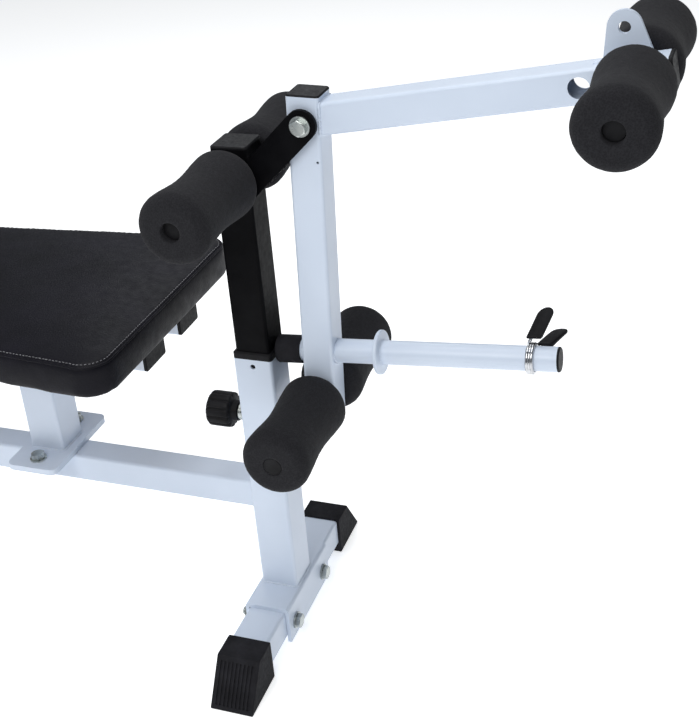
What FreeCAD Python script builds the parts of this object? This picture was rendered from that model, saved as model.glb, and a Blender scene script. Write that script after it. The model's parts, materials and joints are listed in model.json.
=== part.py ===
import FreeCAD, Part
import math
import os
from FreeCAD import Placement, Rotation, Vector

# Adjustable weight bench with a leg developer. Millimetres, +Z up, floor at Z = 0.
# Everything is laid out from the front post's centre line, with +X to the front and the leg
# developer, and moved at the end so that the origin is under the middle of the bounding box.
origin_to_front_post = 381.4

# Tubes: side lengths, walls and the radius of their outer corners
post_side = 50.0
inner_side = 44.0
beam_side = 40.0
lever_side = 38.0
arm_side = 36.0
tube_wall = 2.0
tube_corner = 4.0

# Feet
foot_width = 50.0
foot_low = 14.5
foot_high = 54.5
foot_half_length = 162.0
cap_width = 57.0
cap_top = 57.0
cap_start = 127.0
cap_flat_end = 163.0
cap_end = 201.0
cap_border = 5.0
rib_count = 9
rib_groove_share = 0.55
rib_groove_depth = 1.5
saddle_thick = 5.0
saddle_half_length = 71.0
saddle_low = 7.0
saddle_top = 60.0
saddle_bolt_y = 50.0
saddle_bolt_z = 27.0

# Main frame
front_post_top = 403.0
collar_flange = 9.0
collar_skirt = 35.0
collar_play = 0.1
post_pin_down = 9.5
post_pin_radius = 3.2
beam_low = 178.0
beam_top = 218.0
rear_post_x = -1090.0
rear_post_top = 230.0
seat_post_x = -320.0
foot_plate_thick = 4.0
foot_plate_length = 74.0
foot_plate_half = 70.0
foot_plate_bolt_y = 48.0

# Seat
rail_low = 397.0
rail_high = 422.0
pad_thick = 47.5
board_thick = 12.0
board_inset = 14.0
seat_front = -107.0
seat_rear = -508.0
seat_front_width = 379.0
seat_rear_width = 306.0
seat_corner = 38.0
seat_rail_width = 50.0
seat_rail_y = 46.0
seat_rail_front = -117.0
bracket_thick = 5.0
bracket_length = 200.0
bracket_half = 75.0

# Backrest
hinge_x = -560.0
hinge_z = 409.5
back_front = -575.0
back_rear = -1240.0
back_front_width = 300.0
back_rear_width = 256.0
back_corner = 36.0
back_rail_width = 40.0
back_rail_y = 46.5
back_rail_front = -545.0
back_rail_rear = -1195.0
back_travel = 70.0
hinge_plate_thick = 5.0
plate_window_low = 240.0
plate_window_front = 345.0
plate_window_rear = 316.0
slot_radius = 150.0
slot_start = 20.0
quadrant_inner = 134.0
quadrant_outer = 166.0
quadrant_thick = 6.0
cross_plate_front = -660.0
cross_plate_rear = -710.0
cross_plate_thick = 4.0
lug_inset = 4.0
lug_height = 30.0

# Front clamp and inner post
clamp_z = 311.0
inner_low = 140.0
inner_high = 668.0
knee_z = 635.0
ear_thick = 5.0
ear_radius = 17.5
ear_knee_radius = 19.0
ear_reach = 83.0

# Leg developer. The lever hangs from the pivot and leans back by a small angle.
pivot_x = 91.0
pivot_z = 701.0
pivot_washer_radius = 11.6
lever_lean = 1.8
lever_high = 29.0
lever_cap_thick = 2.0
lever_low = -377.0
lower_bar_z = -347.5
lower_bar_x = -3.0
arm_rise = 11.2
arm_root_z = 4.9
arm_length = 363.0
arm_bar_at = 331.5
arm_hole_at = 276.0
tab_at = 324.5
tab_hole_up = 31.0
tab_radius = 17.0
tab_thick = 5.0
tab_hole = 6.0
weight_rise = 6.1
weight_z = -288.0
weight_radius = 14.3
weight_wall = 2.5
weight_start = -24.0
weight_end = 281.5
stop_disc_at = 71.0
stop_disc_radius = 26.2
stop_disc_thick = 5.0
clip_at = 246.0
clip_wire = 2.0
clip_turns = 4
clip_pitch = 3.4
clip_turn = 55.0
clip_spread = 25.0
clip_lean = 24.0
clip_leg = 26.0
clip_grip_start = 6.0
clip_grip_end = 45.0
clip_grip_width = 18.0
clip_grip_thick = 7.0
clip_leg_starts = (1.0, 9.2)
bumper_radius = 17.0
weight_plug_thick = 2.5

# Foam rollers
foam_length = 142.0
foam_end_radius = 40.5
foam_waist_radius = 36.0
foam_rounding = 14.0
foam_face_radius = 27.0
roller_bar_radius = 11.0
roller_bar_hole = 11.05
roller_bar_wall = 2.0
roller_plug_thick = 3.0
roller_plug_depth = 12.0

# Fits and small hardware
running = 0.05
bolt_play = 0.25
m8, m10, m12 = 4.0, 5.0, 6.0

# Clamp knobs
knob_neck = 8.0
knob_height = 33.0
knob_radius = 22.5
knob_flutes = 12
knob_flute_radius = 3.0
knob_flute_out = 1.2
knob_rounding = 4.5

X, Y, Z = Vector(1, 0, 0), Vector(0, 1, 0), Vector(0, 0, 1)

# A shape is drawn along local Z and turned onto the named axis. Its two cross directions then
# follow in cyclic order: X takes (Y, Z), Y takes (Z, X) and Z takes (X, Y).
TURN = {
    "x": Rotation(Y, Z, X, "ZXY"),
    "y": Rotation(Z, X, Y, "ZXY"),
    "z": Rotation(),
}


def turned(shape, axis, low, centre):
    """A shape drawn from local Z = 0 upwards, set along an axis from a given height."""
    local = Vector(centre[0], centre[1], low)
    shape = shape.copy()
    shape.Placement = Placement(TURN[axis].multVec(local), TURN[axis])
    return shape


def rounded_face(width, height, radius):
    """Rectangle about the local origin with its four corners rounded."""
    a, b = width / 2, height / 2
    if radius <= 0:
        corners = [Vector(-a, -b), Vector(a, -b), Vector(a, b), Vector(-a, b), Vector(-a, -b)]
        return Part.Face(Part.makePolygon(corners))
    edges = []
    k = radius * (1 - math.sqrt(0.5))
    for sx, sy in ((1, 1), (-1, 1), (-1, -1), (1, -1)):
        start = Vector(sx * a, sy * (b - radius))
        end = Vector(sx * (a - radius), sy * b)
        if sx * sy < 0:
            start, end = end, start
        middle = Vector(sx * (a - k), sy * (b - k))
        edges.append(Part.Arc(start, middle, end).toShape())
    for i in range(4):
        here, there = edges[i], edges[(i + 1) % 4]
        edges.append(Part.makeLine(here.lastVertex(True).Point, there.firstVertex(True).Point))
    return Part.Face(Part.Wire(Part.__sortEdges__(edges)))


def bar(axis, low, high, centre, size, radius=0.0):
    """Solid bar with a rounded rectangular section."""
    face = rounded_face(size[0], size[1], radius)
    return turned(face.extrude(Vector(0, 0, high - low)), axis, low, centre)


def tube(axis, low, high, centre, size, wall=tube_wall, radius=tube_corner):
    """Rectangular hollow tube, open at both ends."""
    outer = bar(axis, low, high, centre, size, radius)
    bore = (size[0] - 2 * wall, size[1] - 2 * wall)
    return outer.cut(bar(axis, low, high, centre, bore, radius - wall))


def rod(axis, low, high, centre, radius):
    """Round solid bar."""
    return turned(Part.makeCylinder(radius, high - low), axis, low, centre)


def sleeve(axis, low, high, centre, outer, inner):
    """Round hollow tube."""
    return rod(axis, low, high, centre, outer).cut(rod(axis, low, high, centre, inner))


def fuse(shapes):
    """One solid from shapes that touch or overlap."""
    first = shapes[0].fuse(shapes[1:])
    return first.removeSplitter()


def cut(shape, tools):
    """The shape with a list of tools taken away."""
    return shape.cut(Part.makeCompound(tools))


def ends(axis_vector, shape, where):
    """Edges of the shape whose every point has the given coordinate along an axis vector."""
    found = []
    for edge in shape.Edges:
        if all(abs(v.Point.dot(axis_vector) - where) < 0.01 for v in edge.Vertexes):
            found.append(edge)
    return found


def eased(shape, axis_vector, where, size):
    """The shape with all edges at one end chamfered."""
    return shape.makeChamfer(size, ends(axis_vector, shape, where))


def hexagon(axis, low, high, centre, flats, chamfer_low, chamfer_high):
    """Hexagonal head or nut, its corners turned off at the ends asked for."""
    corner = flats / math.sqrt(3)
    points = []
    for i in range(7):
        a = math.radians(60 * i)
        points.append(Vector(corner * math.cos(a), corner * math.sin(a)))
    height = high - low
    body = Part.Face(Part.makePolygon(points)).extrude(Vector(0, 0, height))
    slope = 0.5
    reach = corner + height / slope
    if chamfer_high:
        cone = Part.makeCone(reach, flats * 0.47, slope * (reach - flats * 0.47))
        cone.translate(Vector(0, 0, height - slope * (reach - flats * 0.47)))
        body = body.common(cone)
    if chamfer_low:
        cone = Part.makeCone(flats * 0.47, reach, slope * (reach - flats * 0.47))
        body = body.common(cone)
    return turned(body, axis, low, centre)


def bolt(axis, head_face, end, centre, radius, washer_radius, washer_thick=2.0):
    """Hex bolt with a washer. The washer lies on head_face and the shank runs to end."""
    way = 1 if end > head_face else -1
    head_high = 1.3 * radius
    flats = 3.3 * radius
    span = sorted((head_face, head_face - way * washer_thick))
    washer = sleeve(axis, span[0], span[1], centre, washer_radius, radius + bolt_play)
    top = head_face - way * washer_thick
    span = sorted((top, top - way * head_high))
    head = hexagon(axis, span[0], span[1], centre, flats, way > 0, way < 0)
    span = sorted((top, end))
    shank = rod(axis, span[0], span[1], centre, radius)
    return [fuse([head, shank]), washer]


def nut(axis, face, way, centre, radius, washer_radius=0.0, washer_thick=2.0):
    """Hex nut that stands on a face and points along the axis (way 1) or against it (way -1)."""
    solids = []
    start = face
    if washer_radius:
        span = sorted((face, face + way * washer_thick))
        solids.append(sleeve(axis, span[0], span[1], centre, washer_radius, radius + bolt_play))
        start = face + way * washer_thick
    span = sorted((start, start + way * 1.6 * radius))
    body = hexagon(axis, span[0], span[1], centre, 3.3 * radius, True, True)
    solids.append(body.cut(rod(axis, span[0], span[1], centre, radius + running)))
    return solids


def tangent_quad(c1, r1, c2, r2):
    """The four touching points of the two outer tangents of two circles."""
    dx, dz = c2[0] - c1[0], c2[1] - c1[1]
    gap = math.hypot(dx, dz)
    along = math.atan2(dz, dx)
    swing = math.acos((r1 - r2) / gap)
    a, b = along + swing, along - swing
    return [
        (c1[0] + r1 * math.cos(a), c1[1] + r1 * math.sin(a)),
        (c1[0] + r1 * math.cos(b), c1[1] + r1 * math.sin(b)),
        (c2[0] + r2 * math.cos(b), c2[1] + r2 * math.sin(b)),
        (c2[0] + r2 * math.cos(a), c2[1] + r2 * math.sin(a)),
    ]


def flat_polygon(points, y_low, y_high):
    """Plate between two Y planes, its outline given as (x, z) points."""
    ring = [Vector(x, y_low, z) for x, z in points]
    return Part.Face(Part.makePolygon(ring + ring[:1])).extrude(Vector(0, y_high - y_low, 0))


def disc(centre, radius, y_low, y_high):
    """Round plate between two Y planes, centre given as (x, z)."""
    return rod("y", y_low, y_high, (centre[1], centre[0]), radius)


def link_plate(circles, y_low, y_high):
    """Plate that wraps a chain of circles, each (x, z, radius)."""
    solids = []
    for x, z, radius in circles:
        solids.append(disc((x, z), radius, y_low, y_high))
    for (x1, z1, r1), (x2, z2, r2) in zip(circles, circles[1:]):
        solids.append(flat_polygon(tangent_quad((x1, z1), r1, (x2, z2), r2), y_low, y_high))
    return fuse(solids)


def rising(x, z, degrees):
    """Placement of a frame in the XZ plane whose local X rises by an angle."""
    return Placement(Vector(x, 0, z), Rotation(Y, -degrees))


parts = {}


def add(node, shape, placement=None):
    """Keeps a node's solids. A list becomes a group of separate solids."""
    if isinstance(shape, list):
        shape = Part.makeCompound(shape)
    if placement is not None:
        shape = shape.copy()
        shape.Placement = placement.multiply(shape.Placement)
    parts[node] = shape


def drilled(shape, holes):
    """The shape with round holes, each (axis, low, high, centre, radius)."""
    return cut(shape, [rod(*hole) for hole in holes])


# ---------------------------------------------------------------- feet and saddles


def foot_cap(side, x):
    """Wedge-shaped end cap: a sleeve over the foot tube, then a ribbed slope to the floor."""
    half = cap_width / 2
    outline = [(cap_start, 0), (cap_start, cap_top), (cap_flat_end, cap_top), (cap_end, 0)]
    ring = [Vector(x - half, side * y, z) for y, z in outline]
    body = Part.Face(Part.makePolygon(ring + ring[:1])).extrude(Vector(cap_width, 0, 0))
    body = body.makeFillet(1.5, [e for e in body.Edges if e.Length > 20])
    lows = sorted((side * (cap_start - 1), side * foot_half_length))
    middle = ((foot_low + foot_high) / 2, x)
    size = (foot_high - foot_low, foot_width)
    body = body.cut(bar("y", lows[0], lows[1], middle, size, tube_corner))
    slope = math.hypot(cap_end - cap_flat_end, cap_top)
    pitch = (cap_width - 2 * cap_border) / rib_count
    grooves = []
    lean = math.degrees(math.atan2(cap_end - cap_flat_end, cap_top))
    across = pitch * rib_groove_share
    for i in range(rib_count):
        groove = Part.makeBox(across, 2 * rib_groove_depth, slope - 14.0)
        start = -half + cap_border + (i + 0.5) * pitch - across / 2
        groove.translate(Vector(start, -rib_groove_depth, -slope + 7.0))
        groove.Placement = Placement(
            Vector(x, side * cap_flat_end, cap_top), Rotation(X, side * lean)
        ).multiply(groove.Placement)
        grooves.append(groove)
    return cut(body, grooves)


def saddle(x):
    """Inverted channel welded under a post; it straddles the foot tube."""
    inner = foot_width / 2 + 0.2
    outer = inner + saddle_thick
    across = (saddle_top - saddle_low, 2 * outer)
    middle = ((saddle_top + saddle_low) / 2, x)
    body = bar("y", -saddle_half_length, saddle_half_length, middle, across)
    corners = [e for e in body.Edges if e.Length > 100 and e.BoundBox.ZMin > saddle_top - 1]
    body = body.makeFillet(5.0, corners)
    hollow = Part.makeBox(2 * inner, 2 * saddle_half_length, foot_high - saddle_low)
    hollow.translate(Vector(x - inner, -saddle_half_length, saddle_low))
    body = body.cut(hollow)
    holes = []
    for y in (-saddle_bolt_y, saddle_bolt_y):
        holes.append(("x", x - outer - 1, x + outer + 1, (y, saddle_bolt_z), m10 + bolt_play))
    return drilled(body, holes)


def foot_tube(x):
    """Foot tube across the bench, drilled for the saddle's bolts."""
    middle = ((foot_low + foot_high) / 2, x)
    size = (foot_high - foot_low, foot_width)
    body = tube("y", -foot_half_length, foot_half_length, middle, size)
    holes = []
    for y in (-saddle_bolt_y, saddle_bolt_y):
        holes.append(("x", x - foot_width, x + foot_width, (y, saddle_bolt_z), m10 + bolt_play))
    return drilled(body, holes)


def make_feet():
    """Front and rear foot: tube, two caps, saddle, bolts and nuts."""
    face = foot_width / 2 + 0.2 + saddle_thick
    tubes, caps, saddles, fasteners = [], [], [], []
    for x, way in ((0.0, 1), (rear_post_x, -1)):
        tubes.append(foot_tube(x))
        caps += [foot_cap(-1, x), foot_cap(1, x)]
        saddles.append(saddle(x))
        for y in (-saddle_bolt_y, saddle_bolt_y):
            at = (y, saddle_bolt_z)
            fasteners += bolt("x", x + way * face, x - way * (face + 14), at, m10, 11.0)
            fasteners += nut("x", x - way * face, -way, at, m10, 11.0)
    add("foot_tubes", tubes)
    add("foot_caps", caps)
    add("foot_saddles", saddles)
    add("saddle_bolts", fasteners)


# ---------------------------------------------------------------- main frame


def make_frame():
    """Front post, collar, beam, rear post and the seat post on its two plates."""
    half = post_side / 2
    post = tube("z", saddle_top, front_post_top, (0, 0), (post_side, post_side))
    post = drilled(
        post,
        [
            ("x", -half - 1, -half + tube_wall + 1, (0, clamp_z), m10 + bolt_play),
            ("y", -half - 1, half + 1, (front_post_top - post_pin_down, 0), post_pin_radius),
        ],
    )
    add("front_post", post)

    opening = inner_side + 2 * collar_play
    bore = post_side - 2 * tube_wall - collar_play
    skirt = bar("z", front_post_top - collar_skirt, front_post_top, (0, 0), (bore, bore), 2.0)
    flange_top = front_post_top + collar_flange
    flange = bar("z", front_post_top, flange_top, (0, 0), (post_side, post_side), tube_corner)
    flange = eased(flange, Z, flange_top, 1.8)
    low = front_post_top - collar_skirt - 1
    hole = bar("z", low, flange_top + 1, (0, 0), (opening, opening), tube_corner)
    add("post_collar", fuse([skirt, flange]).cut(hole))

    beam_z = (beam_low + beam_top) / 2
    beam = tube("x", rear_post_x + half, -half, (0, beam_z), (beam_side, beam_side))
    add("main_beam", beam)

    rear = tube("z", saddle_top, rear_post_top, (rear_post_x, 0), (post_side, post_side))
    add("rear_post", rear)
    add("rear_post_plug", plug("z", rear_post_top, 1, (rear_post_x, 0), (post_side, post_side)))

    plates = []
    low = beam_top
    for _ in range(2):
        size = (foot_plate_length, 2 * foot_plate_half)
        body = bar("z", low, low + foot_plate_thick, (seat_post_x, 0), size, 10.0)
        holes = []
        for y in (-foot_plate_bolt_y, foot_plate_bolt_y):
            holes.append(("z", low - 1, low + 5, (seat_post_x, y), m10 + bolt_play))
        plates.append(drilled(body, holes))
        low += foot_plate_thick
    add("seat_post_plates", plates)
    top = rail_low - bracket_thick
    add("seat_post", tube("z", low, top, (seat_post_x, 0), (post_side, post_side)))

    fasteners = []
    for y in (-foot_plate_bolt_y, foot_plate_bolt_y):
        at = (seat_post_x, y)
        fasteners += bolt("z", low, beam_top - 12, at, m10, 11.0)
        fasteners += nut("z", beam_top, -1, at, m10)
    add("seat_post_bolts", fasteners)


def plug(axis, face, way, centre, size, wall=tube_wall, flange=4.0, depth=14.0):
    """Push-in end plug for a rectangular tube: a flange outside and a hollow insert inside."""
    span = sorted((face, face + way * flange))
    cover = bar(axis, span[0], span[1], centre, size, tube_corner)
    line = {"x": X, "y": Y, "z": Z}[axis]
    cover = eased(cover, line, face + way * flange, 1.2)
    inner = (size[0] - 2 * wall - 0.2, size[1] - 2 * wall - 0.2)
    span = sorted((face, face - way * depth))
    insert = bar(axis, span[0], span[1], centre, inner, tube_corner - wall)
    hollow = (inner[0] - 5.0, inner[1] - 5.0)
    insert = insert.cut(bar(axis, span[0], span[1], centre, hollow, 0.5))
    return fuse([cover, insert])


# ---------------------------------------------------------------- seat


def pad(front, rear, front_width, rear_width, corner):
    """Upholstered pad: tapering outline, round corners, and a recess below for its board."""
    high = rail_high + pad_thick

    def outline(inset, low, top):
        a, b = front_width / 2 - inset, rear_width / 2 - inset
        points = [(front - inset, -a), (front - inset, a), (rear + inset, b), (rear + inset, -b)]
        ring = [Vector(x, y, low) for x, y in points]
        return Part.Face(Part.makePolygon(ring + ring[:1])).extrude(Vector(0, 0, top - low))

    body = outline(0.0, rail_high, high)
    body = body.makeFillet(corner, [e for e in body.Edges if e.BoundBox.ZLength > 10])
    body = body.makeFillet(7.0, ends(Z, body, high))
    body = body.makeFillet(3.0, ends(Z, body, rail_high))
    recess = outline(board_inset, rail_high, rail_high + board_thick)
    recess = recess.makeFillet(corner - 8, [e for e in recess.Edges if e.BoundBox.ZLength > 5])
    return body.cut(recess), recess


def screws(spots, head_face, top):
    """Hex screws that point up, with washers: spots are (x, y)."""
    solids = []
    for spot in spots:
        solids += bolt("z", head_face, top, spot, m8, 9.0, 1.6)
    return solids


def make_seat():
    """Seat bracket, rails with plugs, board, pad and screws."""
    middle = (rail_low + rail_high) / 2
    size = (seat_rail_width, rail_high - rail_low)
    spots = []
    for x in (seat_post_x - 75, seat_post_x + 75):
        for y in (-seat_rail_y, seat_rail_y):
            spots.append((x, y))
    holes = [("z", rail_low - 10, rail_high + 1, spot, m8 + bolt_play) for spot in spots]
    top = rail_low
    bracket = bar(
        "z", top - bracket_thick, top, (seat_post_x, 0), (bracket_length, 2 * bracket_half), 12.0
    )
    add("seat_bracket", drilled(bracket, holes))

    flange = 4.0
    rails, plugs = [], []
    rail_front, rail_rear = seat_rail_front - flange, seat_rear + 8 + flange
    for y in (-seat_rail_y, seat_rail_y):
        rails.append(drilled(tube("x", rail_rear, rail_front, (y, middle), size), holes))
        plugs.append(plug("x", rail_front, 1, (y, middle), size))
        plugs.append(plug("x", rail_rear, -1, (y, middle), size))
    add("seat_rails", rails)
    add("seat_rail_plugs", plugs)

    body, board = pad(seat_front, seat_rear, seat_front_width, seat_rear_width, seat_corner)
    add("seat_pad", body)
    pilot = [("z", rail_high - 1, rail_high + 9, spot, m8 + running) for spot in spots]
    add("seat_board", drilled(board, pilot))
    add("seat_screws", screws(spots, rail_low - bracket_thick, rail_high + 8))


# ---------------------------------------------------------------- backrest


def polar(radius, degrees):
    """Point (x, z) about the backrest hinge; the angle turns down from the rearward side."""
    a = math.radians(degrees)
    return hinge_x - radius * math.cos(a), hinge_z - radius * math.sin(a)


def ring_sector(inner, outer, start, stop, y_low, y_high):
    """Part of a flat ring about the backrest hinge, between two polar angles."""
    rim = []
    for radius, first, last in ((outer, start, stop), (inner, stop, start)):
        a, b = polar(radius, first), polar(radius, last)
        c = polar(radius, (first + last) / 2)
        rim.append(Part.Arc(*[Vector(x, y_low, z) for x, z in (a, c, b)]).toShape())
    for i in range(2):
        a = rim[i].lastVertex(True).Point
        b = rim[1 - i].firstVertex(True).Point
        rim.append(Part.makeLine(a, b))
    face = Part.Face(Part.Wire(Part.__sortEdges__(rim)))
    return face.extrude(Vector(0, y_high - y_low, 0))


def quadrant():
    """Slotted quadrant under the backrest. The clamp's bolt runs in its slot."""
    y = quadrant_thick / 2
    hub = polar(0, 0)
    slot_stop = slot_start + back_travel
    band = ring_sector(quadrant_inner, quadrant_outer, slot_start - 8, slot_stop + 8, -y, y)
    solids = [band, disc(hub, 16.0, -y, y)]
    for angle, width in ((slot_start - 6, 11.0), (slot_stop + 2, 9.0)):
        reach = polar((quadrant_inner + quadrant_outer) / 2, angle)
        if angle < slot_start:
            reach = polar(quadrant_inner, angle + 4)
        solids.append(link_plate([hub + (width,), reach + (width,)], -y, y))
    under = rail_low - cross_plate_thick
    lug_length = cross_plate_front - cross_plate_rear - 2 * lug_inset
    lug = Part.makeBox(lug_length, 2 * y, lug_height)
    lug.translate(Vector(cross_plate_rear + lug_inset, -y, under - lug_height))
    body = fuse(solids + [lug])
    above = Part.makeBox(200, 20, 60)
    above.translate(Vector(hinge_x - 220, -10, under))
    half = m12 + 0.2
    slot = ring_sector(slot_radius - half, slot_radius + half, slot_start, slot_stop, -10, 10)
    round_ends = [disc(polar(slot_radius, a), half, -10, 10) for a in (slot_start, slot_stop)]
    return cut(body, [above, slot, disc(hub, 12.05, -10, 10)] + round_ends)


def hinge_plate(low, high):
    """Plate welded to the beam's side: it carries the hinge bolt and the clamp's bolt."""
    clamp = polar(slot_radius, slot_start)
    foot_front, foot_rear, foot_z = hinge_x + 14, clamp[0] - 14, beam_low + 14
    hinge = (hinge_x, hinge_z)
    loop = [hinge + (15.0,), clamp + (18.0,), (foot_rear, foot_z, 12.0), (foot_front, foot_z, 12.0)]
    body = link_plate(loop + loop[:1], low, high)
    body = fuse([body, flat_polygon([(x, z) for x, z, _ in loop], low, high)])
    front, rear = hinge_x - 8, clamp[0] + 14
    window = [(front, plate_window_front), (rear, plate_window_rear)]
    window += [(rear, plate_window_low), (front, plate_window_low)]
    opening = flat_polygon(window, low - 1, high + 1)
    opening = opening.makeFillet(10.0, [e for e in opening.Edges if e.BoundBox.YLength > 2])
    holes = [disc(at, m12 + running, low - 1, high + 1) for at in (hinge, clamp)]
    return cut(body, [opening] + holes)


def make_backrest():
    """Everything that turns about the backrest hinge, and the plates that hold it."""
    inner = beam_side / 2
    near, far = inner, inner + hinge_plate_thick
    add("hinge_plates", [hinge_plate(-far, -near), hinge_plate(near, far)])

    middle = (rail_low + rail_high) / 2
    size = (back_rail_width, rail_high - rail_low)
    spots = []
    for x in (back_front - 145, back_rear + 110):
        for y in (-back_rail_y, back_rail_y):
            spots.append((x, y))
    holes = [("z", rail_low - 10, rail_high + 1, spot, m8 + bolt_play) for spot in spots]
    outer = back_rail_y + back_rail_width / 2
    holes.append(("y", -outer - 1, outer + 1, (hinge_z, hinge_x), m12 + running))
    rails, plugs = [], []
    for y in (-back_rail_y, back_rail_y):
        rails.append(drilled(tube("x", back_rail_rear, back_rail_front, (y, middle), size), holes))
        plugs.append(plug("x", back_rail_front, 1, (y, middle), size, depth=7.0))
        plugs.append(plug("x", back_rail_rear, -1, (y, middle), size))
    add("backrest_rails", rails)
    add("backrest_rail_plugs", plugs)

    add("backrest_hinge_sleeve", sleeve("y", -19.7, 19.7, (hinge_z, hinge_x), 12.0, m12 + running))
    fasteners = bolt("y", -outer, outer + 14, (hinge_z, hinge_x), m12, 13.0)
    fasteners += nut("y", outer, 1, (hinge_z, hinge_x), m12, 13.0)
    add("backrest_hinge_bolt", fasteners)
    add("backrest_quadrant", quadrant())
    x_middle = (cross_plate_front + cross_plate_rear) / 2
    size = (cross_plate_front - cross_plate_rear, 2 * outer)
    add("backrest_cross_plate",
        bar("z", rail_low - cross_plate_thick, rail_low, (x_middle, 0), size, 8.0))

    body, board = pad(back_front, back_rear, back_front_width, back_rear_width, back_corner)
    add("backrest_pad", body)
    pilot = [("z", rail_high - 1, rail_high + 9, spot, m8 + running) for spot in spots]
    add("backrest_board", drilled(board, pilot))
    add("backrest_screws", screws(spots, rail_low, rail_high + 8))


# ---------------------------------------------------------------- clamp knobs


def knob(axis, base, way, centre, bore_depth):
    """Fluted hand knob on a neck. It stands on base and points along the axis by way."""
    neck, height, radius = knob_neck, knob_height, knob_radius
    lows = sorted((base, base + way * neck))
    stem = rod(axis, lows[0], lows[1], centre, 13.0)
    lows = sorted((base + way * neck, base + way * (neck + height)))
    head = rod(axis, lows[0], lows[1], centre, radius)
    line = {"x": X, "y": Y, "z": Z}[axis]
    head = head.makeFillet(knob_rounding, ends(line, head, base + way * (neck + height)))
    flutes = []
    for i in range(knob_flutes):
        a = 2 * math.pi * i / knob_flutes
        reach = radius + knob_flute_out
        at = (centre[0] + reach * math.cos(a), centre[1] + reach * math.sin(a))
        flutes.append(rod(axis, lows[0] - 1, lows[1] + 1, at, knob_flute_radius))
    head = cut(head, flutes)
    lows = sorted((base, base + way * bore_depth))
    return fuse([stem, head]).cut(rod(axis, lows[0], lows[1], centre, m10 + running))


def make_clamps():
    """Front clamp screw on the post, and the rear clamp on the quadrant."""
    face = -post_side / 2
    boss_length = 12.0
    knob_base = face - boss_length - 0.5
    boss = sleeve("x", face - boss_length, face, (0, clamp_z), 11.0, m10 + running)
    add("front_clamp_boss", eased(boss, X, face - boss_length, 1.0))
    tip = -inner_side / 2 - 0.25
    add("front_clamp_screw", rod("x", knob_base - 22, tip, (0, clamp_z), m10))
    add("front_clamp_knob", knob("x", knob_base, -1, (0, clamp_z), 23.0))

    clamp_x, clamp_h = polar(slot_radius, slot_start)
    at = (clamp_h, clamp_x)
    outer = beam_side / 2 + hinge_plate_thick
    washer_end = -outer - 2.5
    shank = rod("y", washer_end - 30, outer, at, m12)
    threaded = rod("y", washer_end - 30, washer_end - 6, at, m10)
    ring = sleeve("y", washer_end - 30, washer_end - 6, at, m12 + 1, m10)
    head = rod("y", outer, outer + 5, at, 13.0)
    head = head.makeFillet(3.0, ends(Y, head, outer + 5))
    add("rear_clamp_bolt", fuse([shank.cut(ring), threaded, head]))
    add("rear_clamp_washer", sleeve("y", washer_end, -outer, at, 14.0, m12 + running))
    clamp = knob("y", washer_end, -1, at, 31.0)
    add("rear_clamp_knob", clamp.cut(rod("y", washer_end - 6, washer_end, at, m12 + running)))


# ---------------------------------------------------------------- inner post and fork


def make_carrier():
    """The post that slides in the front post, with the fork that holds the lever's pivot."""
    half = inner_side / 2
    post = tube("z", inner_low, inner_high, (0, 0), (inner_side, inner_side))
    post = drilled(post, [("y", -half - 1, half + 1, (knee_z, 0), roller_bar_hole)])
    add("inner_post", post)
    cap = plug("z", inner_high, 1, (0, 0), (inner_side, inner_side), flange=3.0, depth=12.0)
    add("inner_post_plug", cap)

    ears = []
    pivot_end = (pivot_x, pivot_z, ear_radius)
    post_end = (pivot_x - ear_reach, pivot_z - ear_reach, ear_radius)
    for side in (-1, 1):
        low, high = sorted((side * half, side * (half + ear_thick)))
        strip = link_plate([pivot_end, post_end], low, high)
        ear = fuse([strip, disc((0, knee_z), ear_knee_radius, low, high)])
        holes = [disc((pivot_x, pivot_z), m10 + 0.1, low - 1, high + 1)]
        holes.append(disc((0, knee_z), roller_bar_hole, low - 1, high + 1))
        ears.append(cut(ear, holes))
    add("fork_ears", ears)
    face = half + ear_thick
    at = (pivot_z, pivot_x)
    fasteners = bolt("y", -face, face + 15, at, m10, pivot_washer_radius, 2.5)
    fasteners += nut("y", face, 1, at, m10, pivot_washer_radius, 2.5)
    add("pivot_bolt", fasteners)


# ---------------------------------------------------------------- lever


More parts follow.
